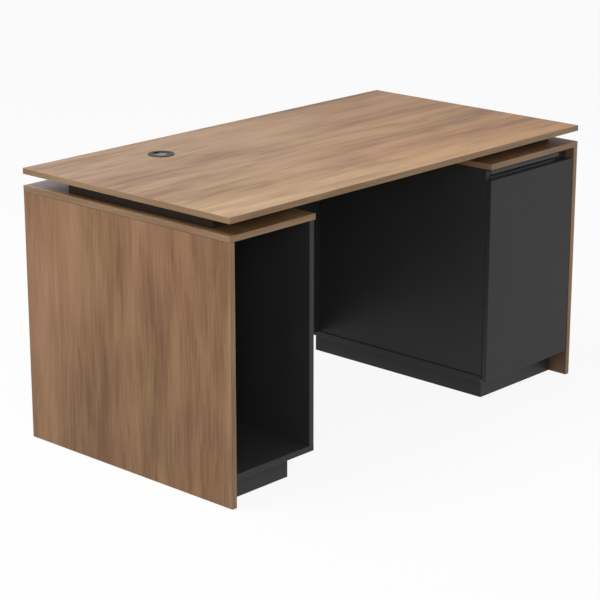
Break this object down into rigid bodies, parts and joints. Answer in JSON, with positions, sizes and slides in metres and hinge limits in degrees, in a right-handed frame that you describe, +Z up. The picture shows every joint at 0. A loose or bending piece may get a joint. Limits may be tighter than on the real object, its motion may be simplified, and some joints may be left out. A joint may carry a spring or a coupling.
{
  "type": "pedestal desk",
  "caption": "Office desk with a thin wood-decor top floating on recessed black risers over side pedestals: an open niche and a cupboard with a hinged door.",
  "frame": {"origin": "on the floor, in the middle of the footprint", "axes": "+X to the sitter's right along the worktop, -Y towards the sitter, +Z up"},
  "size_m": [1.4, 0.75, 0.742],
  "materials": {
    "wood_decor": "satin printed walnut decor on board",
    "wood_edge": "satin printed edge band",
    "black_board": "matte black melamine on board",
    "black_edge": "matte black edge band",
    "black_profile": "black anodised",
    "black_metal": "black powder coat",
    "steel": "zinc plated",
    "grommet_plastic": "satin moulded",
    "black_plastic": "matte moulded",
    "dowel_wood": "raw beech",
    "bumper_rubber": "soft black"
  },
  "bodies": {
    "desk": {"catch_screws": "steel", "glides": "black_plastic", "grommet_sleeve": "grommet_plastic", "hinge_plate_screws": "steel", "hinge_plates": "black_metal", "left_back_panel": "black_board", "left_bottom_board": "black_board", "left_carcase_edging": "black_edge", "left_dowels": "dowel_wood", "left_end_edging": "wood_edge", "left_end_panel": "wood_decor", "left_inner_panel": "black_board", "left_plinth_front": "black_board", "left_plinth_rear": "black_board", "left_plinth_side": "black_board", "left_riser_front": "black_board", "left_riser_inner": "black_board", "left_riser_outer": "black_board", "left_riser_rear": "black_board", "left_top_board": "wood_decor", "left_top_edging": "wood_edge", "magnetic_catch": "black_plastic", "modesty_brackets": "steel", "modesty_panel": "black_board", "modesty_screws": "steel", "right_back_panel": "black_board", "right_bottom_board": "black_board", "right_carcase_edging": "black_edge", "right_dowels": "dowel_wood", "right_end_edging": "wood_edge", "right_end_panel": "wood_decor", "right_front_rail": "black_board", "right_inner_panel": "black_board", "right_plinth_front": "black_board", "right_plinth_rear": "black_board", "right_plinth_side": "black_board", "right_riser_front": "black_board", "right_riser_inner": "black_board", "right_riser_outer": "black_board", "right_riser_rear": "black_board", "right_shelf": "black_board", "right_top_board": "wood_decor", "right_top_edging": "wood_edge", "shelf_pins": "steel", "worktop": "wood_decor", "worktop_edging": "wood_edge", "worktop_screws": "steel"},
    "door": {"door_panel": "black_board", "door_edging": "black_edge", "door_handle": "black_profile", "handle_screws": "steel", "hinge_bodies": "black_metal", "hinge_body_screws": "steel", "catch_strike": "steel", "strike_screw": "steel", "door_bumpers": "bumper_rubber"},
    "cap": {"grommet_cap": "grommet_plastic"}
  },
  "joints": [
    {"name": "door_swing", "type": "hinge", "parent": "desk", "child": "door", "pos_m": [0.673, -0.368, 0], "axis": [0, 0, 1], "range_deg": [0, 95]},
    {"name": "cap_lift", "type": "slide", "parent": "desk", "child": "cap", "axis": [0, 0, 1], "range_m": [0, 0.03]}
  ]
}
